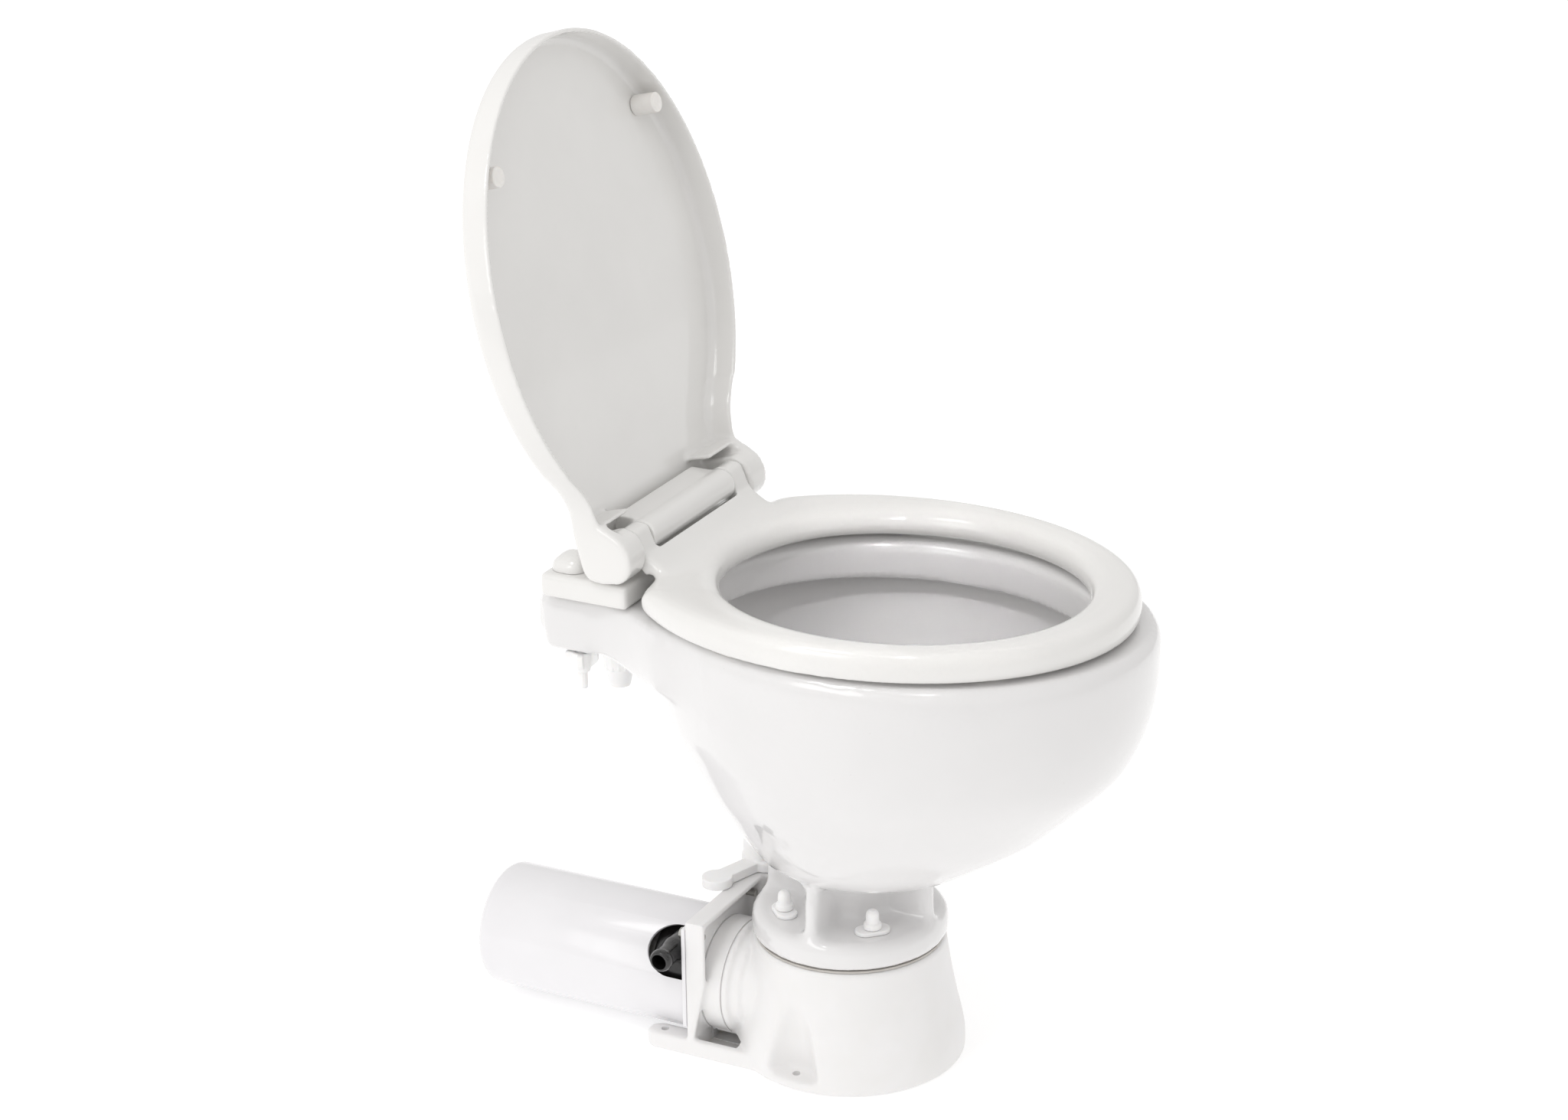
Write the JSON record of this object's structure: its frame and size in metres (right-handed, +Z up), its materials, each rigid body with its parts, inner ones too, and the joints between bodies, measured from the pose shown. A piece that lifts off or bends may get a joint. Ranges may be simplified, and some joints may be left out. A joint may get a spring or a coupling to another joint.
{
  "type": "electric marine toilet",
  "caption": "Compact electric boat toilet: oval china bowl on a flared pump base, horizontal motor behind, hinged seat and lid with the lid standing open.",
  "frame": {"origin": "centre of the round pump base, on the floor", "axes": "+Z up, -Y the front of the bowl, +Y the motor's end, +X to the right seen from the front"},
  "size_m": [0.2998, 0.487, 0.7078],
  "materials": {
    "china": "white glaze",
    "base_plastic": "moulded white",
    "seat_plastic": "gloss white",
    "white_nylon": "natural white nylon",
    "impeller_plastic": "moulded",
    "black_plastic": "gloss black",
    "motor_paint": "white enamel",
    "black_rubber": "matt",
    "pale_rubber": "matt",
    "steel": "brushed"
  },
  "bodies": {
    "frame": {"bowl": "china", "bowl_bolt_1": "steel", "bowl_bolt_2": "steel", "bowl_bolt_3": "steel", "bowl_bolt_4": "steel", "bowl_gasket": "black_rubber", "cap_nut_1": "white_nylon", "cap_nut_2": "white_nylon", "cap_nut_3": "white_nylon", "cap_nut_4": "white_nylon", "discharge_hosetail": "white_nylon", "flange_screw_1": "steel", "flange_screw_2": "steel", "flush_inlet_nut": "white_nylon", "flush_inlet_spigot": "white_nylon", "flush_pump_housing": "black_plastic", "foot_washer_1": "white_nylon", "foot_washer_2": "white_nylon", "foot_washer_3": "white_nylon", "foot_washer_4": "white_nylon", "hinge_bolt_1": "white_nylon", "hinge_bolt_2": "white_nylon", "hinge_bolt_cap_1": "seat_plastic", "hinge_bolt_cap_2": "seat_plastic", "hinge_bracket": "seat_plastic", "hinge_pin": "steel", "housing_seal_ring": "black_rubber", "joker_valve": "black_rubber", "motor_body": "steel", "motor_cover": "motor_paint", "motor_flange": "motor_paint", "pump_base": "base_plastic", "shaft_seal": "black_rubber", "wear_plate": "steel", "wing_nut_1": "white_nylon", "wing_nut_2": "white_nylon"},
    "seat": {"seat": "seat_plastic", "seat_bumper_1": "pale_rubber", "seat_bumper_2": "pale_rubber", "seat_bumper_3": "pale_rubber", "seat_bumper_4": "pale_rubber"},
    "lid": {"lid": "seat_plastic", "lid_bumper_1": "pale_rubber", "lid_bumper_2": "pale_rubber"},
    "rotor": {"motor_shaft": "steel", "chopper_plate": "steel", "discharge_impeller": "impeller_plastic", "flush_impeller": "black_rubber"}
  },
  "joints": [
    {"name": "seat_hinge", "type": "hinge", "parent": "frame", "child": "seat", "pos_m": [0, 0.127, 0.3824], "axis": [-1, 0, 0], "range_deg": [0, 108]},
    {"name": "lid_hinge", "type": "hinge", "parent": "frame", "child": "lid", "pos_m": [0, 0.127, 0.3824], "axis": [-1, 0, 0], "range_deg": [-109.4, 0]},
    {"name": "rotor_spin", "type": "hinge", "parent": "frame", "child": "rotor", "pos_m": [-0.022, 0.095, 0.0473], "axis": [0, 1, 0], "continuous": true}
  ]
}
